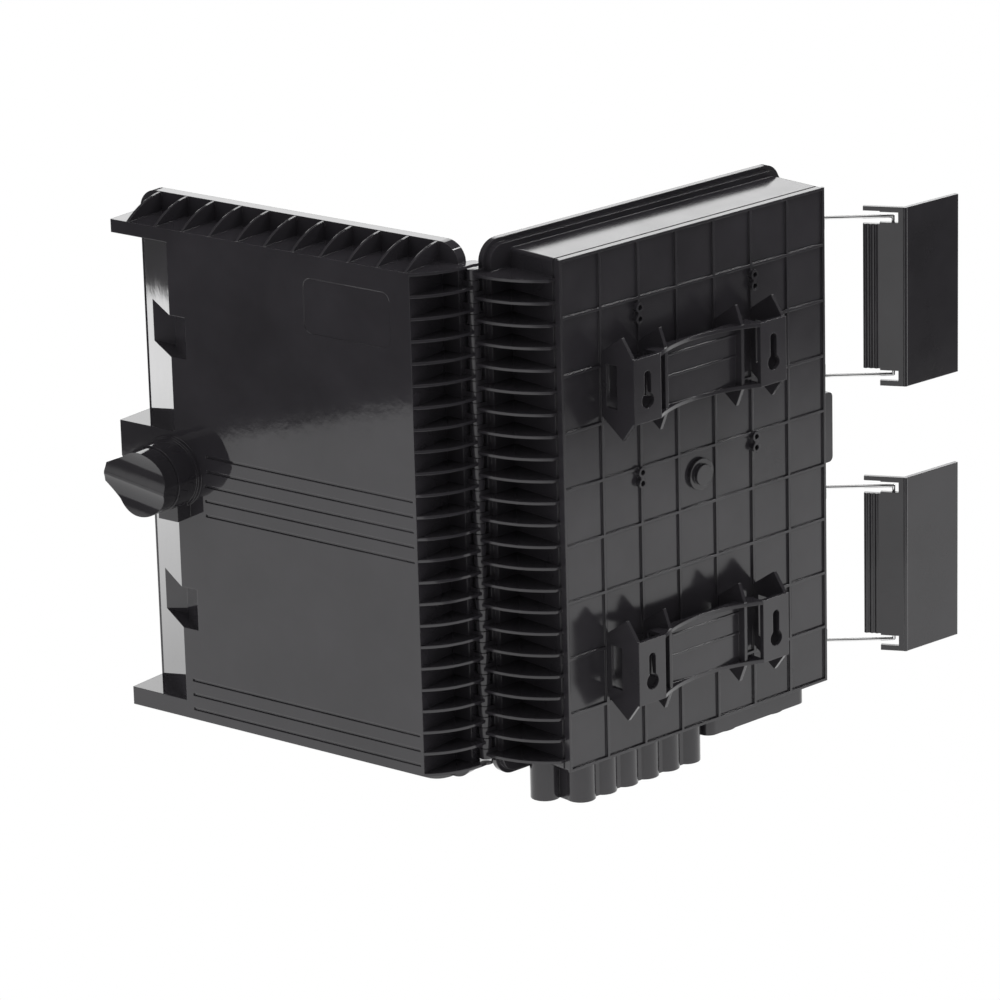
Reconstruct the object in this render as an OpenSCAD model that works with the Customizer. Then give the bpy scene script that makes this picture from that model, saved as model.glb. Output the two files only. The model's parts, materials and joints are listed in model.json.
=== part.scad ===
// Outdoor fibre splice and distribution closure: a hinged two-shell box with wire-bail latches,
// a quarter-turn lock, wall brackets, cable ports and swing-out fibre leaves inside.
// Frame: origin in the plane of the wall pads, in the middle of the four keyholes' round ends.
// +X points to the hinge side, -Y points to the front of the closed box, +Z is up.

/* [Housing] */
// Width of the base box at its back
box_w = 202; // [180:1:230]
// Height of the base box
box_h = 290; // [280:1:310]
// Depth of the base box from its back face to its flange
box_d = 38; // [34:1:50]
// Wall of both shells
wall = 2.5; // [2:0.1:3]
// Distance of the cover's face from the joint
cover_d = 36; // [36:1:46]
// Width of the cover's slanted side in plan
facet_w = 40; // [32:1:48]
// Angle at which the cover stands open
open_deg = 100; // [60:1:120]

/* [Rim] */
// Thickness of the base flange
flange_t = 7; // [6:0.5:9]
// Rise of the rim above the top of the box
rim_rise = 6; // [5:0.5:8]
// Reach of the rim below the bottom of the box
rim_drop = 9; // [7:0.5:10]
// Reach of the rim beyond the box on the hinge side
rim_hinge = 17; // [16:0.5:20]
// Reach of the rim beyond the box on the latch side
rim_latch = 7; // [6:0.5:8]
// Corner radius of the rim
rim_r = 12; // [8:1:14]
// Thickness of the cover's rim
cover_rim_t = 7; // [5:0.5:8]

/* [Ribs] */
// Thickness of the moulded ribs
rib_t = 1.6; // [1.2:0.1:2]
// Cells between the ribs on the hinge side of the cover
side_cells = 23; // [19:1:25]
// Cells between the ribs on top of the cover
top_cells = 10; // [8:1:12]
// Columns of the grid on the back
grid_cols = 7; // [5:1:9]
// Rows of the grid on the back
grid_rows = 9; // [7:1:11]
// Height of the grid ribs
grid_h = 1.2; // [0.8:0.1:1.6]

/* [Hinge] */
// Radius of the hinge knuckles
knuckle_r = 3.7; // [3.2:0.1:3.8]
// Radius of the hinge pins
pin_r = 1.5; // [1.2:0.1:1.8]
// Running clearance of pins and shafts
run_gap = 0.06; // [0.03:0.01:0.09]

/* [Latches] */
// Distance of a catch's middle from the end of the box
latch_in = 66; // [65:0.5:71]
// Offset of the clips below the middle of their catches
latch_drop = 2.5; // [0:0.5:3]
// Length of a latch clip
clip_len = 104; // [96:1:106]
// Width of a clip's outer plate
clip_plate = 41; // [38:0.5:42]
// Width of a clip's side strip
clip_strip = 14; // [13:0.5:15]
// Width of a clip's lip
clip_lip = 9.5; // [8:0.5:10]
// Sheet thickness of a clip
clip_t = 2.4; // [2:0.1:2.6]
// Radius of the bail wire
wire_r = 1; // [0.8:0.1:1.2]
// Length of the bail's arms
bail_len = 41.5; // [40:0.5:42]
// Direction in which the open bails point
bail_deg = 137.5; // [130:0.5:145]
// Direction in which the plate of an open clip points
clip_deg = 178; // [170:1:184]

/* [Lock] */
// Radius of the knob
knob_r = 18.5; // [16:0.5:19]
// Reach of the knob's pointer
knob_reach = 25; // [23:0.5:27]
// Thickness of the knob's head
knob_t = 12; // [10:0.5:14]
// Radius of the collar round the knob
collar_r = 19.5; // [18:0.5:20.5]
// Height of the collar
collar_h = 17; // [12:0.5:18]

/* [Brackets] */
// Distance of the wall pads from the back
standoff = 25; // [20:0.5:30]
// Width of a bracket
bracket_w = 116; // [108:1:120]
// Height of a bracket
bracket_h = 36.5; // [34:0.5:40]
// Distance between the two brackets
bracket_pitch = 160; // [150:1:166]
// Depth of the pole saddle
saddle_d = 9.4; // [7:0.2:11]
// Radius of a keyhole's round end
keyhole_r = 4.5; // [4:0.1:5]
// Width of a keyhole's slot
keyhole_slot = 5; // [4:0.1:5.4]

/* [Ports] */
// Distance between the drop cable ports
port_pitch = 16.2; // [15.5:0.1:17]
// Drop cable ports in a row
ports_per_row = 6; // [4:1:6]
// Length of the drop cable ports
port_len = 21.5; // [16:0.5:24]
// Bore radius of a drop cable port
port_bore_r = 5.5; // [4.5:0.1:6]
// Bore radius of a main cable port
main_bore_r = 12; // [10:0.5:13]
// Depth of the main port block below the box
main_len = 10; // [8:0.5:12]

/* [Inside] */
// Room between the leaves and the latch side of the base
leaf_room = 22; // [18:1:30]
// Room for the cable clamps below the leaves
clamp_room = 52; // [46:1:60]
// Share of the leaves' height that the splice cassette takes
splice_share = 0.486; // [0.46:0.002:0.5]
// Angle through which the leaves swing out
leaf_swing = 95; // [60:1:100]
// Number of adapters in the row
adapters = 12; // [8:1:12]
// Number of splice sleeves in a holder
sleeves = 12; // [8:1:12]

/* [Hidden] */
$fn = 48;

black = "#1c1b1e";
steel = "#b9bcc0";
rubber = "#2a2a2c";

// Planes and edges of the closed box
y_back = -standoff;
y_flange = y_back - box_d;
y_mate = y_flange - flange_t;
y_face = y_mate - cover_d;
half_w = box_w / 2;
half_h = box_h / 2;
rim_z = half_h + rim_rise;
rim_z0 = -half_h - rim_drop;
rim_x1 = half_w + rim_hinge;
rim_x0 = -half_w - rim_latch;
seam_gap = 0.3;

// Hinge axis and rows of ribs
hinge_off = 4;
hinge_x = rim_x1 + hinge_off;
cover_top = half_h - 5;
cover_bot = -half_h;
pitch = (cover_top - cover_bot) / side_cells;
knuckle_gap = 0.3;
knuckle_h = pitch / 2 - knuckle_gap;
hinge_top = cover_top - pitch / 2 + knuckle_h / 2;
hinge_bot = cover_bot + pitch / 2 - knuckle_h / 2;

// Cover outline in plan
cover_x1 = rim_x1 - 11;
cover_x0 = -half_w - 1;
facet_x = cover_x0 + facet_w;
facet_d = 27;
cover_rim_y = y_mate - seam_gap - cover_rim_t;
rib_foot = 0.3;
tab_h = [10.5, 7.5];
rib_reach = hinge_x + 2.5;
notch_len = 24;
notch_floor = 19.7;
notch_run = 24.5;
notch_cut = 11;

// Latch pivots on the base
notch_z = half_h - latch_in;
latch_mids = [-notch_z - latch_drop, notch_z - latch_drop];
lug_top = latch_mids[1] - clip_len / 2 - 0.5;
block_z = [-25.5, lug_top];
bail_x = -half_w - 11;
bail_y = y_back - 15;
bail_half = 46;
pivot_in = 7;
pivot_off = 2.4;
ear_t = 5;
ear_r = 3.4;

// Lock
lock_x = facet_x - 3;
lock_z = 0;
bush_r = 9;
shaft_r = 5;
knob_tilt = 8;
cam_len = 27;
cam_t = 3;
keeper_y = y_mate - 15;
keeper_x = -half_w + wall + 2;
cam_y = keeper_y + 0.8;

// Brackets
bracket_x = 13.5;
bracket_z0 = -10;
pad_w = 20;
leg_t = 2.2;
leg_in = bracket_w / 2 - pad_w - 10;
fin_rise = 10.5;
fin_back = 9.5;
keyhole_drop = 6;

// Ports
port_row_y = y_back - 9.5;
port_row_gap = 15.8;
port_r = port_pitch / 2 + 0.2;
port_x1 = half_w - 16.5;
port_shift = 12;
main_x0 = -half_w + 14;
main_x1 = -8;
main_y1 = y_back - 3;
main_y0 = y_back - 36;
cable_r = 5;

// Inside
leaf_pin_r = 1.5;
leaf_x = half_w - 13;
leaf_x1 = leaf_x - 7;
leaf_w = leaf_x1 + half_w - leaf_room - wall - 0.5;
leaf_t = 2;
leaf_z1 = half_h - 14.5;
leaf_gap = 8;
panel_z0 = -half_h + clamp_room;
splice_h = splice_share * (leaf_z1 - panel_z0 - leaf_gap);
splice_z0 = leaf_z1 - splice_h;
panel_z1 = splice_z0 - leaf_gap;
leaf_pin_y = y_mate - 2;
splice_y = y_back - 28;
adapter_y = y_back - 36;
storage_y = y_back - wall - 4;

// Radius of an arc that rises from a corner and ends level with the rim
function arc_r(run, rise) = (run * run + rise * rise) / (2 * rise);

// Moves the pieces, drawn round the middle of the box, to the frame of the keyholes
module placed() translate([-bracket_x, 0, keyhole_drop - bracket_z0]) children();

module rounded_rect(w, h, r) {
    square([w - 2 * r, h], center = true);
    square([w, h - 2 * r], center = true);
    for (sx = [-1, 1], sz = [-1, 1])
        translate([sx * (w / 2 - r), sz * (h / 2 - r)]) circle(r);
}

// Plate in the XZ plane that lies between y1 - t and y1
module xz_plate(y1, t, x0, x1, z0, z1, r) {
    translate([(x0 + x1) / 2, y1, (z0 + z1) / 2])
        rotate([90, 0, 0]) linear_extrude(t) rounded_rect(x1 - x0, z1 - z0, r);
}

module box(x0, x1, y0, y1, z0, z1) {
    translate([x0, y0, z0]) cube([x1 - x0, y1 - y0, z1 - z0]);
}

// Upright prism of a plan outline
module prism(z0, z1) {
    translate([0, 0, z0]) linear_extrude(z1 - z0) children();
}

module bar_y(x, z, r, y0, y1) {
    translate([x, y1, z]) rotate([90, 0, 0]) cylinder(h = y1 - y0, r = r);
}

module bar_z(x, y, r, z0, z1) {
    translate([x, y, z0]) cylinder(h = z1 - z0, r = r);
}

// Turns a closed cover piece to the angle at which the cover stands open
module opened() {
    translate([hinge_x, y_mate, 0]) rotate([0, 0, open_deg]) translate([-hinge_x, -y_mate, 0])
        children();
}

// Plan of the ribs on the hinge side of the base, from its back edge out to the hinge
module base_bulge() {
    run = box_d + flange_t;
    r = arc_r(run, rib_reach - half_w);
    intersection() {
        union() {
            translate([half_w - 0.5, y_flange - 0.5]) square([rib_reach - half_w + 1, box_d - 3]);
            translate([rim_x1 - 1, y_mate + 0.3]) square([rib_reach - rim_x1 + 2, flange_t + 1]);
        }
        translate([rib_reach - r, y_mate]) circle(r, $fn = 160);
    }
}

module base_side_ribs() {
    intersection() {
        prism(cover_bot, cover_top) base_bulge();
        for (i = [0:side_cells - 1])
            translate([half_w - 5, y_mate, cover_bot + (i + 0.5) * pitch - rib_t / 2])
                cube([rim_hinge + 15, box_d + flange_t, rib_t]);
    }
}

module base_knuckles() {
    for (i = [0:side_cells - 1]) {
        z = cover_bot + (i + 0.5) * pitch;
        bar_z(hinge_x, y_mate, knuckle_r, z - knuckle_h / 2, z + knuckle_h / 2);
        box(rim_x1 - 1, hinge_x, y_mate, y_mate + knuckle_r, z - knuckle_h / 2, z + knuckle_h / 2);
    }
}

module back_grid() difference() {
    grid_ribs();
    bar_y(vent_x, vent_z, vent_r + 0.6, y_back - grid_h - 0.02, y_back + 1);
}

module grid_ribs() {
    for (i = [0:grid_cols])
        box(-half_w + i * (box_w - rib_t) / grid_cols, -half_w + i * (box_w - rib_t) / grid_cols + rib_t,
            y_back - grid_h - 0.5, y_back, -half_h, half_h);
    for (j = [0:grid_rows])
        box(-half_w, half_w, y_back - grid_h - 0.5, y_back,
            -half_h + j * (box_h - rib_t) / grid_rows, -half_h + j * (box_h - rib_t) / grid_rows + rib_t);
}

// Low double rings above and below the upper bracket
module back_bosses() {
    y1 = y_back + 2;
    for (x = [-44, 44], z = [104, 11])
        difference() {
            union() {
                for (dz = [-3.15, 3.15]) bar_y(x, z + dz, 2.75, y_back - grid_h - 0.5, y1);
                box(x - 1.3, x + 1.3, y_back - grid_h - 0.5, y1, z - 1.5, z + 1.5);
            }
            for (dz = [-3.15, 3.15]) bar_y(x, z + dz, 1.5, y_back - grid_h + 0.6, y1 + 1);
        }
}

module port_bodies() {
    for (row = [0, 1], i = [0:ports_per_row - 1])
        bar_z(port_x1 + row * port_shift - i * port_pitch, port_row_y - row * port_row_gap, port_r,
              -half_h - port_len, -half_h + 1);
    box(port_x1 - (ports_per_row - 1) * port_pitch, port_x1 + port_shift - 4,
        port_row_y - port_row_gap, port_row_y, -half_h - port_len, -half_h + 1);
    box(port_x1 - (ports_per_row - 1) * port_pitch, port_x1,
        port_row_y - 1, port_row_y + 5, -half_h - port_len, -half_h + 1);
    prism(-half_h - main_len, -half_h + 1)
        translate([(main_x0 + main_x1) / 2, (main_y0 + main_y1) / 2])
            rounded_rect(main_x1 - main_x0, main_y1 - main_y0, 6);
}

module port_bores() {
    for (row = [0, 1], i = [0:ports_per_row - 1])
        bar_z(port_x1 + row * port_shift - i * port_pitch, port_row_y - row * port_row_gap, port_bore_r,
              -half_h - port_len - 1, -half_h + wall + 1);
    for (x = main_port_x)
        bar_z(x, (main_y0 + main_y1) / 2, main_bore_r, -half_h - main_len - 1, -half_h + wall + 1);
}
main_port_x = [for (s = [0.26, 0.74]) main_x0 + s * (main_x1 - main_x0)];

// Ears with upright bores that carry the ends of the bails
module bail_ears() {
    for (c = latch_mids, s = [-1, 1]) {
        z0 = c + (s < 0 ? -bail_half + wire_r + 0.4 : bail_half - wire_r - 0.4 - ear_t);
        difference() {
            union() {
                bar_z(bail_x, bail_y, ear_r, z0, z0 + ear_t);
                box(bail_x, -half_w + 0.5, bail_y - ear_r, bail_y + ear_r, z0, z0 + ear_t);
            }
            bar_z(bail_x, bail_y, wire_r + run_gap, z0 - 1, z0 + ear_t + 1);
        }
    }
}

// Raised pads and the rounded lug on the latch side
module latch_side_pads() {
    pad = 1.3;
    for (span = side_pads)
        box(-half_w - pad, -half_w + 0.5, y_flange + 0.5, y_back - 3, span[0], span[1]);
    xz_plate(y_back - 4, 5, -half_w - 9.7, -half_w + 4, -17, lug_top, 3);
}

side_pads = [
    [half_h - 66, half_h - 6], [24, 49], [-half_h + 66, -19], [-half_h + 6, -half_h + 36]
];

// Keeper inside the base that the lock's cam catches
module keeper() {
    box(-half_w + wall - 0.5, keeper_x + 2.5, y_mate + 2, y_flange + 12, lock_z - 12, lock_z + 12);
    box(keeper_x, keeper_x + 2.5, keeper_y - 3, y_mate + 3, lock_z - 12, lock_z + 12);
    box(keeper_x, keeper_x + 12, keeper_y - 3, keeper_y, lock_z - 12, lock_z + 12);
}

// Posts inside the base for the storage plate, the cable clamps and the leaves' pin
module inner_posts() {
    floor_y = y_back - wall;
    for (p = storage_screw_at)
        bar_y(p[0], p[1], 4, storage_y, floor_y);
    for (x = main_port_x, dx = [-10, 10])
        bar_y(x + dx, clamp_z, 3.5, clamp_y, floor_y);
    for (z = leaf_ear_z)
        union() {
            bar_z(leaf_x, leaf_pin_y, 3.2, z, z + 4);
            box(leaf_x - 2, leaf_x + 2, leaf_pin_y, floor_y, z, z + 4);
        }
}
plate_x = [-half_w + wall + 12.5, leaf_x - 10];
plate_z = [-half_h + 57, half_h - 9];
plate_edge = 8;
storage_screw_at = [
    for (x = [plate_x[0] + plate_edge, plate_x[1] - plate_edge])
        for (z = [plate_z[0] + plate_edge, plate_z[1] - plate_edge]) [x, z]
];
coil_r = 34;
coil_depth = 10;
coil_z = [plate_z[0] + 2 * coil_r, plate_z[1] - 1.65 * coil_r];
coil_x = (plate_x[0] + plate_x[1]) / 2;
clamp_z = -half_h + 27;
clamp_y = y_back - 20;
leaf_ear_z = [panel_z0 - 6, panel_z1 + 2, leaf_z1 + 2];

// Shallow groove that sets off the rounded back edge
module edge_groove() {
    depth = 0.7;
    difference() {
        xz_plate(y_back - grid_h - 3, 1.2, -half_w - 1, half_w + 1, -half_h - 1, half_h + 1, 2);
        xz_plate(y_back, 10, -half_w + depth, half_w - depth, -half_h + depth, half_h - depth, 2);
    }
}

module base_shell() color(black) placed() {
    difference() {
        union() {
            difference() {
                union() {
                    xz_plate(y_back - grid_h, box_d - grid_h + 1, -half_w, half_w, -half_h, half_h, 2);
                    xz_plate(y_flange, flange_t / 2, rim_x0 + 2.5, rim_x1 - 2.5,
                             rim_z0 + 2.5, rim_z - 2.5, rim_r - 2.5);
                    xz_plate(y_flange - flange_t / 2, flange_t / 2, rim_x0, rim_x1, rim_z0, rim_z, rim_r);
                }
                xz_plate(y_back - wall - grid_h, box_d + flange_t, -half_w + wall, half_w - wall,
                         -half_h + wall, half_h - wall, 2);
                gasket_ring(groove_y0 - 1, groove_y1 - groove_y0 + 1, 0);
                edge_groove();
            }
            base_side_ribs();
            back_grid();
            back_bosses();
            port_bodies();
            latch_side_pads();
            keeper();
            inner_posts();
            base_knuckles();
            bail_ears();
        }
        port_bores();
        bar_y(vent_x, vent_z, 4, y_back - wall - grid_h - 1, y_back + 1);
        bar_z(hinge_x, y_mate, pin_r + run_gap, hinge_bot + 1.2, hinge_top - 1.2);
        for (p = storage_screw_at)
            bar_y(p[0], p[1], screw_r, storage_y - 1, storage_y + 4.2);
        for (x = main_port_x, dx = [-10, 10])
            bar_y(x + dx, clamp_z, screw_r, clamp_y - 1, clamp_y + 8);
        for (z = leaf_ear_z)
            bar_z(leaf_x, leaf_pin_y, leaf_pin_r + run_gap, z - 1, z + 5);
    }
}
vent_x = -2;
vent_z = 2;
vent_r = 9;
screw_r = 1.5;
groove_y0 = y_mate;
groove_y1 = y_mate + 4;

// Ring that follows the flange between its inner edge and its outer edge
module gasket_ring(y0, t, play) {
    x1 = half_w + 4;
    x0 = -half_w - 2;
    z1 = half_h + 3;
    difference() {
        xz_plate(y0 + t, t, x0 - 1.5 + play, x1 + 1.5 - play, -z1 - 0.5 + play, z1 + 0.5 - play, 6);
        xz_plate(y0 + t + 1, t + 2, x0 + 2 - play, x1 - 2 + play, -z1 + 2.5 - play, z1 - 2.5 + play, 4);
    }
}

module gasket() color("#3a3a3d") placed() gasket_ring(groove_y1 - 3, 3 - 0.01, 0.02);

module hinge_pin(z0, z1) color(steel) placed() bar_z(hinge_x, y_mate, pin_r, z0, z1);
module hinge_pin_upper() hinge_pin(0.5, hinge_top - 1.4);
module hinge_pin_lower() hinge_pin(hinge_bot + 1.4, -0.5);

// One-piece wall bracket: two pads with keyholes, a pole saddle and four legs with pointed fins
module bracket(zc) color(black) placed() translate([bracket_x, 0, zc]) {
    saddle_w = bracket_w - 2 * pad_w;
    saddle_r = arc_r(saddle_w / 2, saddle_d);
    pad_t = 2.6;
    edge_t = 2.2;
    floor_y = -saddle_d - 0.1;
    leg_front = saddle_r - saddle_d - sqrt(saddle_r * saddle_r - leg_in * leg_in) - 0.4;
    difference() {
        union() {
            for (x = [-bracket_w / 2, bracket_w / 2 - pad_w])
                box(x, x + pad_w, -pad_t, 0, -bracket_h / 2, bracket_h / 2);
            for (z = [-bracket_h / 2, bracket_h / 2 - edge_t])
                prism(z, z + edge_t)
                    difference() {
                        translate([-saddle_w / 2 - 0.6, floor_y - 2])
                            square([saddle_w + 1.2, saddle_d + 2]);
                        translate([0, saddle_r - saddle_d]) circle(saddle_r, $fn = 160);
                    }
            box(-leg_in - leg_t, leg_in + leg_t, floor_y - 2, floor_y, -bracket_h / 2, bracket_h / 2);
            for (z = [0, 12])
                box(-leg_in, leg_in, floor_y - 0.5, floor_y + 0.6, z - 0.6, z + 0.6);
            for (x = [-bracket_w / 2, bracket_w / 2 - leg_t]) bracket_leg(x, -1);
            for (x = [-leg_in - leg_t, leg_in]) bracket_leg(x, leg_front);
        }
        for (s = [-1, 1]) translate([s * (bracket_w / 2 - pad_w / 2), 0, 0]) keyhole(pad_t);
    }
}

module bracket_leg(x, front) {
    translate([x, 0, 0]) rotate([90, 0, 90]) linear_extrude(leg_t)
        difference() {
            polygon([[-standoff, -bracket_h / 2], [-fin_back, -bracket_h / 2 - fin_rise],
                     [front, -bracket_h / 2 + 0.5], [front, bracket_h / 2 - 0.5],
                     [-fin_back, bracket_h / 2 + fin_rise], [-standoff, bracket_h / 2]]);
            translate([-standoff + 3.5, -bracket_h / 2 + 6]) square([standoff - 17, bracket_h - 12]);
        }
}

// Keyhole with its slot above its round end
module keyhole(t) {
    bar_y(0, -keyhole_drop, keyhole_r, -t - 1, 1);
    bar_y(0, 8, keyhole_slot / 2, -t - 1, 1);
    box(-keyhole_slot / 2, keyhole_slot / 2, -t - 1, 1, -keyhole_drop, 8);
}
module bracket_upper() bracket(bracket_z0 + bracket_pitch / 2);
module bracket_lower() bracket(bracket_z0 - bracket_pitch / 2);

module vent_plug() color(black) placed() {
    seat = y_back - grid_h;
    difference() {
        union() {
            bar_y(vent_x, vent_z, 4 - run_gap, seat - 4.8, seat + 0.5);
            bar_y(vent_x, vent_z, vent_r, seat + 0.02, seat + 2.2);
            bar_y(vent_x, vent_z, vent_r - 3, seat + 2, seat + 4.4);
        }
        bar_y(vent_x, vent_z, 1, seat - 7, seat + 2);
    }
}

// Rubber grommets of the two main cable ports
module main_seals() color(rubber) placed() {
    y = (main_y0 + main_y1) / 2;
    mouth = -half_h - main_len;
    for (x = main_port_x)
        difference() {
            union() {
                bar_z(x, y, main_bore_r - 0.02, mouth, -half_h + wall);
                bar_z(x, y, main_bore_r + 1.6, mouth - 2, mouth - 0.02);
                bar_z(x, y, main_bore_r - 1, mouth - 1, mouth + 1);
            }
            bar_z(x, y, cable_r, mouth - 3, -half_h + wall + 1);
        }
}

// Rubber plugs of the drop cable ports, each with a flat membrane at its lower end
module drop_seals() color(rubber) placed() {
    for (row = [0, 1], i = [0:ports_per_row - 1])
        difference() {
            bar_z(port_x1 + row * port_shift - i * port_pitch, port_row_y - row * port_row_gap,
                  port_bore_r - 0.02, -half_h - port_len + 1, -half_h + wall);
            bar_z(port_x1 + row * port_shift - i * port_pitch, port_row_y - row * port_row_gap,
                  2.2, -half_h - port_len + 3, -half_h + wall + 1);
        }
}

// Saddle clamps for the main cables on their posts
module cable_clamps() color(steel) placed() {
    for (x = main_port_x)
        difference() {
            union() {
                box(x - 13.5, x + 13.5, clamp_y - 1.5, clamp_y - 0.02, clamp_z - 5, clamp_z + 5);
                translate([x, clamp_y, clamp_z - 5]) intersection() {
                    cylinder(h = 10, r = 6.5);
                    translate([-8, -8, 0]) cube([16, 7.98, 10]);
                }
            }
            bar_z(x, clamp_y, 5, clamp_z - 6, clamp_z + 6);
            for (dx = [-10, 10]) bar_y(x + dx, clamp_z, screw_r + 0.2, clamp_y - 3, clamp_y + 1);
        }
}

module screw(x, z, y_seat, len) {
    difference() {
        union() {
            bar_y(x, z, screw_r - 0.02, y_seat - 0.5, y_seat + len);
            bar_y(x, z, 3, y_seat - 2.2, y_seat - 0.02);
        }
        box(x - 2, x + 2, y_seat - 3, y_seat - 1.4, z - 0.35, z + 0.35);
        box(x - 0.35, x + 0.35, y_seat - 3, y_seat - 1.4, z - 2, z + 2);
    }
}

module clamp_screws() color(steel) placed()
    for (x = main_port_x, dx = [-10, 10]) screw(x + dx, clamp_z, clamp_y - 1.5, 8);

// Moulded plate on the floor of the base with two coil rings, each with four fingers
module storage_plate() color("#e4e3df") placed() {
    front = storage_y - leaf_t;
    difference() {
        union() {
            xz_plate(storage_y - 0.02, leaf_t, plate_x[0], plate_x[1], plate_z[0], plate_z[1], 6);
            for (z = coil_z) {
                difference() {
                    bar_y(coil_x, z, coil_r, front - coil_depth, front + 1);
                    bar_y(coil_x, z, coil_r - wall, front - coil_depth - 1, front + 0.5);
                }
                for (a = [45, 135, 225, 315])
                    translate([coil_x, 0, z]) rotate([0, -a, 0])
                        box(coil_r - 1, coil_r + 9, front - coil_depth, front - coil_depth + leaf_t, -4, 4);
            }
        }
        for (z = coil_z) bar_y(coil_x, z, coil_r - 10, storage_y - 4, storage_y + 1);
        for (p = storage_screw_at) bar_y(p[0], p[1], screw_r + 0.3, storage_y - 4, storage_y + 1);
    }
}

module storage_screws() color(steel) placed()
    for (p = storage_screw_at) screw(p[0], p[1], storage_y - leaf_t, 6);

module leaf_pin() color(steel) placed()
    bar_z(leaf_x, leaf_pin_y, leaf_pin_r, leaf_ear_z[0], leaf_ear_z[2] + 4);

// Knuckles that let a leaf turn on the upright pin, each on an arm that reaches back to the leaf
module leaf_knuckles(y, slots) {
    for (z = slots)
        difference() {
            union() {
                bar_z(leaf_x, leaf_pin_y, 3.2, z, z + 12);
                box(leaf_x - 3.2, leaf_x - 0.2, leaf_pin_y, y, z, z + 12);
                box(leaf_x1 - 1, leaf_x - 0.2, y - leaf_t, y, z, z + 12);
            }
            bar_z(leaf_x, leaf_pin_y, leaf_pin_r + run_gap, z - 1, z + 13);
        }
}

// Upper leaf: a splice cassette with a low wall all round
module splice_leaf() color("#e4e3df") placed() {
    x0 = leaf_x1 - leaf_w;
    difference() {
        xz_plate(splice_y, 12, x0, leaf_x1, splice_z0, leaf_z1, 8);
        xz_plate(splice_y - leaf_t, 12, x0 + leaf_t, leaf_x1 - leaf_t,
                 splice_z0 + leaf_t, leaf_z1 - leaf_t, 6);
        for (x = [x0 + 20, leaf_x1 - 34])
            box(x, x + 14, splice_y - 14, splice_y - leaf_t - 2, splice_z0 - 1, splice_z0 + leaf_t + 1);
    }
    for (x = [x0 + 32, leaf_x1 - 32])
        difference() {
            bar_y(x, splice_z0 + 32, 20, splice_y - 10, splice_y - 1);
            bar_y(x, splice_z0 + 32, 18.4, splice_y - 11, splice_y);
        }
    leaf_knuckles(splice_y, [splice_z0 + 10, leaf_z1 - 24]);
}

module sleeve_holders() color("#3f6fa8") placed() {
    y1 = splice_y - leaf_t - 0.02;
    for (x = holder_x) {
        for (i = [0:sleeves])
            box(x - 13, x + 13, y1 - 5, y1,
                holder_z + i * sleeve_pitch - 0.6, holder_z + i * sleeve_pitch + 0.6);
        box(x - 13, x + 13, y1 - 1, y1, holder_z, holder_z + sleeves * sleeve_pitch);
    }
}
holder_x = [leaf_x1 - 0.79 * leaf_w, leaf_x1 - 0.21 * leaf_w];
sleeve_pitch = 3.6;
holder_z = leaf_z1 - 6 - sleeves * sleeve_pitch;

module splice_sleeves() color("#d8d8d4") placed() {
    for (x = holder_x, i = [0:sleeves - 1])
        translate([x - 20, splice_y - leaf_t - 2.6, holder_z + (i + 0.5) * sleeve_pitch])
            rotate([0, 90, 0]) cylinder(h = 40, r = 1.15);
}

module splice_lid() color([0.8, 0.85, 0.9, 0.5]) placed()
    xz_plate(splice_y - 12 - 0.02, 1.5, leaf_x1 - leaf_w, leaf_x1, splice_z0, leaf_z1, 8);

module splitter_module() color("#a7abb0") placed()
    box(leaf_x1 - leaf_w / 2 - 21, leaf_x1 - leaf_w / 2 + 21,
        splice_y - leaf_t - 6, splice_y - leaf_t - 0.02,
        leaf_z1 - 22, leaf_z1 - 10);

// Lower leaf: a plate with a shelf of adapters along its lower edge
module adapter_leaf() color("#e4e3df") placed() {
    x0 = leaf_x1 - leaf_w;
    difference() {
        union() {
            xz_plate(adapter_y, leaf_t, x0, leaf_x1, panel_z0, panel_z1, 8);
            box(x0 + 4, leaf_x1 - 4, adapter_y - 16, adapter_y - 1, shelf_z, shelf_z + 2);
            for (x = [x0 + 4, leaf_x1 - 6])
                box(x, x + 2, adapter_y - 16, adapter_y - 1, shelf_z, shelf_z + 18);
        }
        for (i = [0:adapters - 1])
            box(adapter_x0 + i * adapter_pitch - 4.8, adapter_x0 + i * adapter_pitch + 4.8,
                adapter_y - 14.6, adapter_y - leaf_t - 1.2, shelf_z - 1, shelf_z + 3);
    }
    leaf_knuckles(adapter_y, [panel_z0 + 10, panel_z1 - 22]);
}
shelf_z = panel_z0 + 36;
adapter_pitch = 12;
adapter_x0 = leaf_x1 - leaf_w / 2 - (adapters - 1) / 2 * adapter_pitch;

module sc_adapters() color("#2f7d4f") placed() {
    z = shelf_z + 2;
    for (i = [0:adapters - 1]) {
        x = adapter_x0 + i * adapter_pitch;
        difference() {
            union() {
                box(x - 4.7, x + 4.7, adapter_y - 14.4, adapter_y - leaf_t - 1.4, z - 14, z + 14);
                box(x - 5.6, x + 5.6, adapter_y - 15, adapter_y - leaf_t - 0.6, z + 0.02, z + 2);
            }
            box(x - 3.6, x + 3.6, adapter_y - 12.6, adapter_y - leaf_t - 3.2, z + 3, z + 15);
            box(x - 3.6, x + 3.6, adapter_y - 12.6, adapter_y - leaf_t - 3.2, z - 15, z - 2);
        }
    }
}

module dust_caps() color("#d9d9d5") placed() {
    z = shelf_z + 2;
    for (i = [0:adapters - 1])
        box(adapter_x0 + i * adapter_pitch - 3.5, adapter_x0 + i * adapter_pitch + 3.5,
            adapter_y - 12.5, adapter_y - leaf_t - 3.3, z - 20, z - 2.1);
}

// Cover outline with its slanted corner on the latch side
module cover_plan(inset) {
    polygon([[cover_x1 - inset, y_mate - seam_gap + inset * 4], [cover_x1 - inset, y_face + inset],
             [facet_x + inset * 0.3, y_face + inset], [cover_x0 + inset, y_face + facet_d + inset * 0.74],
             [cover_x0 + inset, y_mate - seam_gap + inset * 4]]);
}

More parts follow.
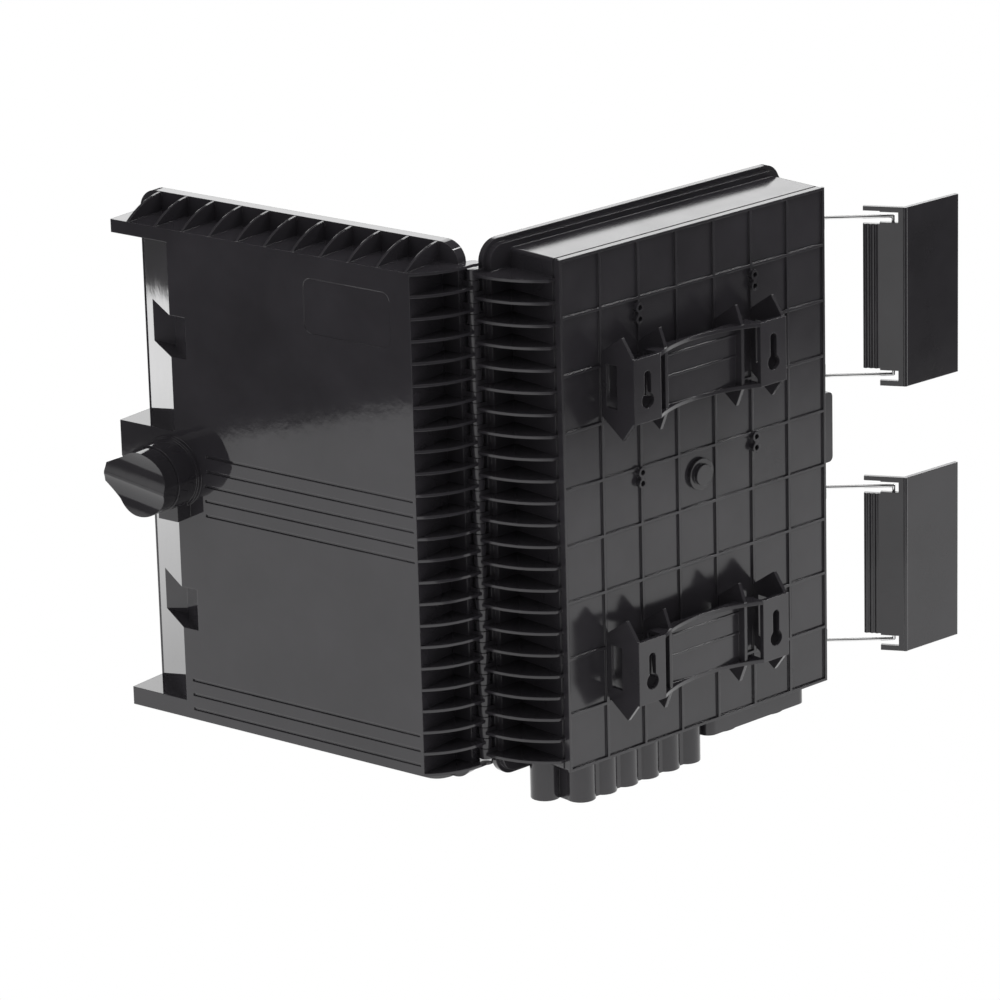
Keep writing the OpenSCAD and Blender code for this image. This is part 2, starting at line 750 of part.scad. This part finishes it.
module corner_fill() {
    polygon([[facet_x + 0.5, y_face], [cover_x0, y_face], [cover_x0, y_face + facet_d + 0.5],
             [cover_x0 + 1, y_face + facet_d + 0.5]]);
}

// Plan of the catch cut in the slanted side
module notch_plan(grow) {
    floor_x = facet_x + notch_cut - notch_run;
    polygon([[facet_x + notch_cut + grow, y_face - 1 - grow], [facet_x + notch_cut + grow, y_face],
             [floor_x + grow, y_face + notch_floor + grow],
             [cover_x0 + 6, y_face + notch_floor + grow], [cover_x0 + 6, y_face - 1 - grow]]);
}

module cover_top_rib_profile(crest_rise) {
    run = cover_d - cover_rim_t;
    top = run + 4;
    r = arc_r(top, crest_rise + rib_foot);
    intersection() {
        translate([0, -2]) square([run + 1, crest_rise + 4]);
        translate([top, crest_rise - r]) circle(r, $fn = 160);
    }
}

module cover_top_ribs() {
    first = cover_x0 + 12;
    step = (cover_x1 - 3 - first) / top_cells;
    for (i = [0:top_cells], s = [-1, 1])
        translate([first + i * step - rib_t / 2, y_face, s > 0 ? cover_top : cover_bot])
            mirror([0, 0, s > 0 ? 0 : 1]) rotate([90, 0, 90]) linear_extrude(rib_t)
                cover_top_rib_profile(s > 0 ? rim_z - cover_top : cover_bot - rim_z0);
}

module cover_side_ribs() {
    rise = rib_reach - cover_x1;
    r = arc_r(cover_d, rise + rib_foot);
    intersection() {
        prism(cover_bot, cover_top) intersection() {
            translate([cover_x1 - 1, y_face]) square([rise + 3, cover_d - 0.5]);
            translate([rib_reach - r, y_mate]) circle(r, $fn = 160);
        }
        for (i = [0:side_cells])
            translate([cover_x1 - 5, y_face, cover_bot + i * (cover_top - cover_bot - rib_t) / side_cells])
                cube([rise + 10, cover_d, rib_t]);
    }
}

// Knuckles between those of the base, and a thin plate at each end of the hinge
module cover_knuckles() {
    for (i = [1:side_cells - 1]) cover_knuckle(cover_bot + i * pitch - knuckle_h / 2, knuckle_h);
    cover_knuckle(cover_bot, rib_t);
    cover_knuckle(cover_top - rib_t, rib_t);
}

module cover_knuckle(z, h) {
    bar_z(hinge_x, y_mate, knuckle_r, z, z + h);
    box(rim_x1 - 1, hinge_x, y_mate - knuckle_r, y_mate - seam_gap, z, z + h);
}

// Fine grooves that fan out from the lock, a pair of rows below, and the bare label recess
module cover_grooves() {
    gw = 1.6;
    gd = 0.8;
    for (i = [0:4])
        box(lock_x + 23 + (i < 2 ? 2 : 0), cover_x1 - 2, y_face - 1, y_face + gd,
            12.7 - i * 8.6 - gw / 2, 12.7 - i * 8.6 + gw / 2);
    for (i = [0:2])
        box(facet_x + 5, cover_x1 - 2, y_face - 1, y_face + gd,
            -121.5 - i * 8.6 - gw / 2, -121.5 - i * 8.6 + gw / 2);
    xz_plate(y_face + 0.3, 2, cover_x1 - 73, cover_x1 - 14, 96, 127, 5);
}

module cover_shell() color(black) placed() opened() {
    difference() {
        union() {
            difference() {
                union() {
                    prism(cover_bot, cover_top) cover_plan(0);
                    prism(cover_top - tab_h[1], cover_top) corner_fill();
                    prism(cover_bot, cover_bot + tab_h[0]) corner_fill();
                    prism(block_z[0], block_z[1]) corner_fill();
                    xz_plate(y_mate - seam_gap, cover_rim_t, rim_x0 + 3, rim_x1, rim_z0, rim_z, rim_r);
                }
                prism(cover_bot + wall, cover_top - wall) cover_plan(wall);
                box(cover_x0 + wall, facet_x + 4, y_face + wall + 1.5, y_mate,
                    block_z[0] + 3, block_z[1] - 3);
            }
            for (c = [-notch_z, notch_z])
                intersection() {
                    prism(c - notch_len / 2 - 2, c + notch_len / 2 + 2) notch_plan(2.2);
                    prism(cover_bot, cover_top) cover_plan(0);
                }
            cover_top_ribs();
            cover_side_ribs();
            cover_knuckles();
            lock_collar();
        }
        for (c = [-notch_z, notch_z])
            prism(c - notch_len / 2, c + notch_len / 2) notch_plan(0);
        cover_grooves();
        bar_y(lock_x, lock_z, bush_r + run_gap, y_face - collar_h - 1, y_face + 12);
        bar_z(hinge_x, y_mate, pin_r + run_gap, hinge_bot - 0.1, hinge_top + 0.1);
    }
}

module lock_collar() {
    bar_y(lock_x, lock_z, collar_r, y_face - collar_h, y_face + wall + 1.6);
    bar_y(lock_x, lock_z, collar_r + 1.5, y_face - 2.5, y_face + 0.5);
    box(lock_x - 2, lock_x + 12, y_face - 11, y_face + 0.5, lock_z - 24.5, lock_z - 12);
}

module lock_bush() color(steel) placed() opened() {
    difference() {
        union() {
            bar_y(lock_x, lock_z, bush_r, y_face - collar_h, y_face + 10);
        }
        bar_y(lock_x, lock_z, shaft_r + run_gap, y_face - collar_h - 1, y_face + 11);
    }
}

module lock_nut() color(steel) placed() opened() {
    difference() {
        translate([lock_x, y_face + 8.5, lock_z]) rotate([90, 0, 0]) cylinder(h = 4, r = 13, $fn = 6);
        bar_y(lock_x, lock_z, bush_r + 0.02, y_face, y_face + 12);
    }
}

// Knob with a blunt pointer, a shallow dish on each side of its ridge and a round shaft
module lock_knob() color(black) placed() opened() {
    y1 = y_face - collar_h - 0.3;
    side = 70;
    tip_h = 5.5;
    difference() {
        union() {
            translate([lock_x, y1, lock_z]) rotate([0, knob_tilt, 0]) difference() {
                rotate([90, 0, 0]) linear_extrude(knob_t) {
                    circle(knob_r, $fn = 96);
                    polygon([[1, 0], [-0.99 * knob_r * cos(side), -0.99 * knob_r * sin(side)],
                             [-knob_reach, -tip_h], [-knob_reach, tip_h],
                             [-0.99 * knob_r * cos(side), 0.99 * knob_r * sin(side)]]);
                }
                for (s = [-1, 1])
                    translate([-40, -knob_t - 20, s * 10]) rotate([0, 90, 0])
                        cylinder(h = 80, r = 22, $fn = 96);
            }
            bar_y(lock_x, lock_z, shaft_r, y1 - 1, cam_y);
            box(lock_x - 3.5, lock_x + 3.5, cam_y - 1, cam_y + cam_t, lock_z - 3.5, lock_z + 3.5);
        }
        bar_y(lock_x, lock_z, screw_r, cam_y - 8, cam_y + cam_t + 1);
    }
}

module lock_cam() color(steel) placed() opened() {
    y0 = cam_y + 0.02;
    difference() {
        union() {
            bar_y(lock_x, lock_z, 8, y0, y0 + cam_t);
            box(lock_x - 5, lock_x + 5, y0, y0 + cam_t, lock_z, lock_z + cam_len);
        }
        box(lock_x - 3.52, lock_x + 3.52, y0 - 1, y0 + cam_t + 1, lock_z - 3.52, lock_z + 3.52);
    }
}

module cam_screw() color(steel) placed() opened() {
    y0 = cam_y + cam_t;
    bar_y(lock_x, lock_z, screw_r - 0.02, y0 - 9, y0 + 0.5);
    bar_y(lock_x, lock_z, 6, y0 + 0.04, y0 + 2.4);
}

// Places a latch piece, drawn round its bail pivot at the origin, on the base
module at_bail(zc) {
    translate([bail_x, bail_y, zc]) rotate([0, 0, bail_deg]) children();
}

// Bent wire: two arms, a cross bar in the clip and two short ends in the ears
module bail(zc) color(steel) placed() at_bail(zc) {
    bar_z(bail_len, 0, wire_r, -bail_half, bail_half);
    for (s = [-1, 1]) {
        translate([0, 0, s * bail_half]) rotate([0, 90, 0]) cylinder(h = bail_len, r = wire_r);
        translate([0, 0, s * bail_half]) sphere(wire_r);
        translate([bail_len, 0, s * bail_half]) sphere(wire_r);
        translate([0, 0, s > 0 ? bail_half - ear_t - wire_r : -bail_half])
            cylinder(h = ear_t + wire_r, r = wire_r);
    }
}
module upper_bail() bail(latch_mids[1]);
module lower_bail() bail(latch_mids[0]);

// Clip drawn round the bail's cross bar: side strip along +X, plate bent from its near end
module clip_body() {
    bend = 125.5;
    half = clip_len / 2;
    slot = [bail_half - 3, bail_half + 3];
    lip_half = bail_half - 4;
    difference() {
        union() {
            box(-pivot_in, clip_strip - pivot_in,
                pivot_off - clip_t / 2, pivot_off + clip_t / 2, -half, half);
            clip_plate_plan(bend, half);
            box(clip_strip - pivot_in - 0.5, clip_strip - pivot_in + clip_lip,
                pivot_off - clip_t / 2, pivot_off + clip_t / 2, -lip_half, lip_half);
            for (k = [0:2])
                bar_z(clip_strip - pivot_in + 2.2 + k * 3, pivot_off + 0.6, 1.2, -lip_half, lip_half);
            box(clip_strip - pivot_in - 0.5, clip_strip - pivot_in + clip_lip,
                pivot_off - clip_t / 2, pivot_off + clip_t / 2, slot[1] + 0.5, half);
            bar_z(0, 0, 2.6, -lip_half, lip_half);
            box(-2.2, 2.2, 0.4, pivot_off, -lip_half, lip_half);
        }
        for (s = [-1, 1])
            box(-pivot_in + 3.6, clip_strip, -3, 6, s > 0 ? slot[0] : -slot[1], s > 0 ? slot[1] : -slot[0]);
        bar_z(0, 0, wire_r + run_gap, -half, half);
    }
}

// Outer plate of a clip with the hook that presses in the cover's catch
module clip_plate_plan(bend, half) {
    translate([-pivot_in, pivot_off, 0]) rotate([0, 0, -bend]) {
        prism(-half, half) {
            translate([0, -clip_t / 2]) square([clip_plate, clip_t]);
            circle(clip_t / 2 + 0.2);
        }
        prism(-notch_len / 2 + 3.75, notch_len / 2 - 3.75)
            translate([hook_x, clip_t / 2 - 0.5]) square([4, hook_h + 0.5]);
    }
}
hook_h = 12.2;
hook_x = 31;

module clip(zc) color(black) placed()
    at_bail(zc) translate([bail_len, 0, 0]) rotate([0, 0, clip_deg + 125.5 - bail_deg]) clip_body();
module upper_clip() clip(latch_mids[1]);
module lower_clip() clip(latch_mids[0]);

base_shell();
gasket();
hinge_pin_upper();
hinge_pin_lower();
bracket_upper();
bracket_lower();
vent_plug();
main_seals();
drop_seals();
cable_clamps();
clamp_screws();
storage_plate();
storage_screws();
leaf_pin();
splice_leaf();
sleeve_holders();
splice_sleeves();
splice_lid();
splitter_module();
adapter_leaf();
sc_adapters();
dust_caps();
cover_shell();
lock_bush();
lock_nut();
lock_knob();
lock_cam();
cam_screw();
upper_bail();
upper_clip();
lower_bail();
lower_clip();
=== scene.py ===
"""Looks of the fibre splice closure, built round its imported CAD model."""

import json

import bpy
from mathutils import Matrix, Vector


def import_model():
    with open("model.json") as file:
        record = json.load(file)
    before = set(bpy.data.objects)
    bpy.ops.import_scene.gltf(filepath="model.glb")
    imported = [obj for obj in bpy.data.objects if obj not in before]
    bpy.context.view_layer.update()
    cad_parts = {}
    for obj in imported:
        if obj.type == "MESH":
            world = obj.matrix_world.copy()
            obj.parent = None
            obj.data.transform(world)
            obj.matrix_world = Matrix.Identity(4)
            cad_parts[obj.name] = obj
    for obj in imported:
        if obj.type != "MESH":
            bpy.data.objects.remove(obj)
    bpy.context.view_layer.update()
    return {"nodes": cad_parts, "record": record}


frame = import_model()
nodes = frame["nodes"]


# Node trees

class Tree:
    """A small helper that adds nodes and links to one material."""

    def __init__(self, name):
        self.name = name
        self.material = bpy.data.materials.new(name)
        self.material.use_nodes = True
        self.tree = self.material.node_tree
        self.tree.nodes.clear()
        self.output = self.add("ShaderNodeOutputMaterial")
        self.shader = self.add("ShaderNodeBsdfPrincipled")
        self.link(self.shader.outputs["BSDF"], self.output.inputs["Surface"])
        self.coords = self.add("ShaderNodeTexCoord").outputs["Object"]

    def add(self, kind, **settings):
        node = self.tree.nodes.new(kind)
        for key, value in settings.items():
            setattr(node, key, value)
        return node

    def link(self, source, target):
        self.tree.links.new(source, target)

    def stretched(self, scale):
        """Coordinates scaled by a different amount along each axis."""
        node = self.add("ShaderNodeMapping")
        node.inputs["Scale"].default_value = scale
        self.link(self.coords, node.inputs["Vector"])
        return node.outputs["Vector"]

    def noise(self, scale, detail=3.0, roughness=0.5, vector=None):
        node = self.add("ShaderNodeTexNoise")
        node.inputs["Scale"].default_value = scale
        node.inputs["Detail"].default_value = detail
        node.inputs["Roughness"].default_value = roughness
        self.link(vector or self.coords, node.inputs["Vector"])
        return node.outputs["Fac"]

    def ramp(self, factor, stops):
        """Colours by place along a factor, blended in between."""
        node = self.add("ShaderNodeValToRGB")
        for element, (place, color) in zip(node.color_ramp.elements, stops, strict=True):
            element.position = place
            element.color = (*color, 1)
        self.link(factor, node.inputs["Fac"])
        return node.outputs["Color"]

    def span(self, factor, low, high):
        """A factor from 0 to 1 turned into a value from low to high."""
        node = self.add("ShaderNodeMapRange")
        node.inputs["To Min"].default_value = low
        node.inputs["To Max"].default_value = high
        self.link(factor, node.inputs["Value"])
        return node.outputs["Result"]

    def along(self, direction):
        """How far a point lies along a direction, in metres."""
        node = self.add("ShaderNodeVectorMath", operation="DOT_PRODUCT")
        node.inputs[1].default_value = direction
        self.link(self.coords, node.inputs[0])
        return node.outputs["Value"]

    def between(self, value, start, end, low, high, steps="LINEAR"):
        """A value from start to end turned into one from low to high."""
        node = self.add("ShaderNodeMapRange", interpolation_type=steps)
        node.inputs["From Min"].default_value = start
        node.inputs["From Max"].default_value = end
        node.inputs["To Min"].default_value = low
        node.inputs["To Max"].default_value = high
        self.link(value, node.inputs["Value"])
        return node.outputs["Result"]

    def bump(self, height, strength, distance, normal):
        node = self.add("ShaderNodeBump")
        node.inputs["Strength"].default_value = strength
        node.inputs["Distance"].default_value = distance
        self.link(height, node.inputs["Height"])
        self.link(normal, node.inputs["Normal"])
        return node.outputs["Normal"]

    def edge(self, radius):
        """A normal that rounds the edges by a radius in metres."""
        node = self.add("ShaderNodeBevel", samples=4)
        node.inputs["Radius"].default_value = radius
        return node.outputs["Normal"]

    def set(self, **values):
        for key, value in values.items():
            self.shader.inputs[key.replace("_", " ")].default_value = value

    def feed(self, **sources):
        for key, source in sources.items():
            self.link(source, self.shader.inputs[key.replace("_", " ")])


def choose(tree, factor, other, chosen):
    """One shader where the factor is 0 and another where it is 1."""
    node = tree.nodes.new("ShaderNodeMixShader")
    tree.links.new(factor, node.inputs["Fac"])
    tree.links.new(other, node.inputs[1])
    tree.links.new(chosen, node.inputs[2])
    return node.outputs[0]


def seen_by(tree, *rays):
    """One value that is 1 for the named kinds of ray and 0 for all others."""
    path = tree.nodes.new("ShaderNodeLightPath")
    result = path.outputs[rays[0]]
    for ray in rays[1:]:
        either = tree.nodes.new("ShaderNodeMath")
        either.operation = "MAXIMUM"
        tree.links.new(result, either.inputs[0])
        tree.links.new(path.outputs[ray], either.inputs[1])
        result = either.outputs[0]
    return result


def grey(value, tint=(1, 1, 1)):
    return tuple(value * part for part in tint)


# Materials

# A faint violet in the black of the mouldings, as in the photograph
SHELL_TINT = (1, 0.93, 1.07)
LATCH_TINT = (1, 0.94, 1.06)
CREAM_DARK = (1, 0.99, 0.96)
CREAM_LIGHT = (1, 0.99, 0.97)


def plastic(name, dark, light, rough, grain_depth=0.000006, flow=18):
    """Moulded plastic: fine grain, faint flow marks, uneven gloss and soft edges."""
    t = Tree(name)
    t.feed(Base_Color=t.ramp(t.noise(flow, 4, 0.55), [(0.3, dark), (0.75, light)]))
    fine = t.noise(1400, 2, 0.6)
    wide = t.noise(60, 3, 0.5)
    t.feed(Roughness=t.span(wide, rough * 0.7, rough * 1.3))
    ripple = t.bump(wide, 0.12, 0.0003, t.edge(0.0005))
    t.feed(Normal=t.bump(fine, 0.25, grain_depth, ripple))
    return t


def metal(name, dark, light, rough, stretch=(1, 1, 14)):
    """Drawn or rolled metal: streaks along one direction and a soft edge."""
    t = Tree(name)
    streaks = t.noise(700, 3, 0.6, t.stretched(stretch))
    patches = t.noise(90, 4, 0.6)
    t.feed(Base_Color=t.ramp(patches, [(0.3, dark), (0.7, light)]))
    t.set(Metallic=1.0)
    t.feed(Roughness=t.span(streaks, rough - 0.08, rough + 0.1))
    t.feed(Normal=t.bump(streaks, 0.2, 0.00002, t.edge(0.0002)))
    return t


def rubber(name, dark, light):
    """Matt rubber with a bloom of fine dust."""
    t = Tree(name)
    dust = t.noise(240, 6, 0.7)
    t.feed(Base_Color=t.ramp(dust, [(0.35, dark), (0.8, light)]))
    t.feed(Roughness=t.span(dust, 0.62, 0.85))
    t.feed(Normal=t.bump(t.noise(2200, 2), 0.35, 0.00003, t.edge(0.0003)))
    return t


def clear(name):
    """Clear lid: thin polycarbonate with faint swirls of polish."""
    t = Tree(name)
    swirl = t.noise(35, 5, 0.6)
    t.feed(Base_Color=t.ramp(swirl, [(0.2, (0.86, 0.90, 0.92)), (0.8, (0.94, 0.96, 0.97))]))
    t.set(IOR=1.49, Alpha=0.32)
    t.feed(Roughness=t.span(swirl, 0.04, 0.14))
    return t


looks = (
    plastic("shell_plastic", grey(0.018, SHELL_TINT), grey(0.028, SHELL_TINT), 0.045),
    plastic("grained_plastic", grey(0.018, SHELL_TINT), grey(0.028, SHELL_TINT), 0.16,
            grain_depth=0.00002),
    plastic("latch_plastic", grey(0.017, LATCH_TINT), grey(0.025, LATCH_TINT), 0.1, flow=26),
    rubber("seal_rubber", grey(0.014), grey(0.032)),
    metal("steel", grey(0.50), grey(0.60), 0.34),
    metal("spring_wire", grey(0.62), grey(0.70), 0.2, stretch=(6, 6, 6)),
    plastic("cassette_plastic", grey(0.70, CREAM_DARK), grey(0.76, CREAM_LIGHT), 0.42),
    clear("clear_lid"),
    plastic("blue_plastic", (0.045, 0.14, 0.36), (0.06, 0.17, 0.42), 0.4),
    plastic("sleeve_plastic", grey(0.60), grey(0.70), 0.2),
    plastic("green_plastic", (0.022, 0.20, 0.085), (0.03, 0.25, 0.11), 0.3),
    plastic("cap_plastic", grey(0.62), grey(0.70), 0.38),
    metal("splitter_case", grey(0.52), grey(0.6), 0.4, stretch=(14, 1, 1)),
)
materials = {look.name: look.material for look in looks}

# The wall side of the base is less polished than the cover
GRAINED = ("base_shell", "bracket_upper", "bracket_lower")

for part in frame["record"]["subparts"]:
    slot = "grained_plastic" if part["node"] in GRAINED else part["material_slot"]
    for place in nodes[part["node"]].material_slots:
        place.link = "OBJECT"
        place.material = materials[slot]


# Stage, light and camera

# Strengths of the world: its light on the object, and the dim room that gloss shows
SOFT_LIGHT = 0.75
ROOM = 0.08

# The floor lies below the part. To gloss only, it glows as a painted reflection of a bright table top,
# which ends at two edges, each an outward direction and a distance in metres, and grows brighter away from
# the camera.
FLOOR_Z = -0.42
FLOOR_HALF = 6.0
TABLE_EDGES = (((0.593, -0.805, 0), 1.63), ((0, 1, 0), 1.04))
TABLE_BLUR = 0.02
TABLE_AWAY = (-0.45, -0.89, 0)
TABLE_RISE = (1.0, 1.7)
TABLE_GLOW = (1.3, 2.4)

# Name, place, target, width and height in metres, and power in watts
SOFTBOXES = (
    ("over", (0.2, 0.3, 2.4), (0, 0, 0), 2.0, 2.0, 14),
    ("behind", (-2.1, -2.3, 1.35), (0, 0, 0), 2.6, 1.2, 24),
    ("ridge", (-1.6, 0.5, 1.86), (0, 0, 0), 0.7, 0.7, 20),
    ("side", (2.4, -0.6, 0.9), (0.1, -0.1, 0), 1.4, 1.8, 8),
)

# The photograph's camera, from a fit to the box's corners
CAMERA_PLACE = (1.95718, 1.97026, 0.92466)
CAMERA_RIGHT = (-0.73255, 0.68026, -0.02479)
CAMERA_UP = (-0.22923, -0.21223, 0.94995)
CAMERA_LOOK = (-0.64096, -0.70157, -0.31141)
CAMERA_LENS = 193.13


def floor():
    """Pale floor: white to the camera, and in reflections a glow painted as a bright table top."""
    mesh = bpy.data.meshes.new("floor")
    corners = ((-1, -1), (1, -1), (1, 1), (-1, 1))
    mesh.from_pydata([(x * FLOOR_HALF, y * FLOOR_HALF, FLOOR_Z) for x, y in corners], [], [(0, 1, 2, 3)])
    obj = bpy.data.objects.new("floor", mesh)
    bpy.context.scene.collection.objects.link(obj)
    t = Tree("floor")
    t.feed(Base_Color=t.ramp(t.noise(3, 3), [(0.2, grey(0.93)), (0.8, grey(0.95))]))
    t.set(Roughness=0.9)

    # Painted reflection: for glossy rays the floor glows as a bright table top, stronger away from the
    # camera
    on_table = t.add("ShaderNodeMath", operation="MULTIPLY")
    for number, (outward, reach) in enumerate(TABLE_EDGES):
        inside = t.between(t.along(outward), reach - TABLE_BLUR, reach + TABLE_BLUR, 1.0, 0.0, "SMOOTHSTEP")
        t.link(inside, on_table.inputs[number])
    strength = t.add("ShaderNodeMix", data_type="FLOAT")
    strength.inputs[2].default_value = ROOM
    t.link(on_table.outputs[0], strength.inputs[0])
    t.link(t.between(t.along(TABLE_AWAY), *TABLE_RISE, *TABLE_GLOW), strength.inputs[3])
    painted_table_glow = t.add("ShaderNodeEmission")
    t.link(strength.outputs[0], painted_table_glow.inputs["Strength"])
    white = t.add("ShaderNodeEmission")

    lit = choose(t.tree, seen_by(t.tree, "Is Glossy Ray"), t.shader.outputs["BSDF"], painted_table_glow.outputs[0])
    seen = choose(t.tree, seen_by(t.tree, "Is Camera Ray", "Is Transmission Ray"), lit, white.outputs[0])
    t.link(seen, t.output.inputs["Surface"])
    mesh.materials.append(t.material)


def world():
    """Soft white light, white to the camera, and a dim room in reflections."""
    studio = bpy.data.worlds.new("studio")
    bpy.context.scene.world = studio
    studio.use_nodes = True
    tree = studio.node_tree
    tree.nodes.clear()
    out = tree.nodes.new("ShaderNodeOutputWorld")

    def sky(strength):
        node = tree.nodes.new("ShaderNodeBackground")
        node.inputs["Color"].default_value = (1, 1, 1, 1)
        node.inputs["Strength"].default_value = strength
        return node.outputs[0]

    lit = choose(tree, seen_by(tree, "Is Glossy Ray"), sky(SOFT_LIGHT), sky(ROOM))
    seen = choose(tree, seen_by(tree, "Is Camera Ray", "Is Transmission Ray"), lit, sky(1.0))
    tree.links.new(seen, out.inputs["Surface"])


def softbox(name, place, target, width, height, power):
    """A rectangular lamp that faces its target and hides from the camera."""
    data = bpy.data.lights.new(name, "AREA")
    data.shape = "RECTANGLE"
    data.size = width
    data.size_y = height
    data.energy = power
    obj = bpy.data.objects.new(name, data)
    obj.location = place
    obj.rotation_euler = (Vector(target) - Vector(place)).to_track_quat("-Z", "Y").to_euler()
    obj.visible_camera = False
    bpy.context.scene.collection.objects.link(obj)


def camera():
    """The photograph's camera at its fitted place and angle."""
    turn = Matrix((CAMERA_RIGHT, CAMERA_UP, -Vector(CAMERA_LOOK))).transposed().to_4x4()
    data = bpy.data.cameras.new("camera")
    data.sensor_width = 36
    data.lens = CAMERA_LENS
    data.clip_start = 0.1
    data.clip_end = 60
    obj = bpy.data.objects.new("camera", data)
    obj.matrix_world = Matrix.Translation(CAMERA_PLACE) @ turn
    bpy.context.scene.collection.objects.link(obj)
    bpy.context.scene.camera = obj


floor()
world()
for box in SOFTBOXES:
    softbox(*box)
camera()
bpy.context.scene.view_settings.view_transform = "Standard"
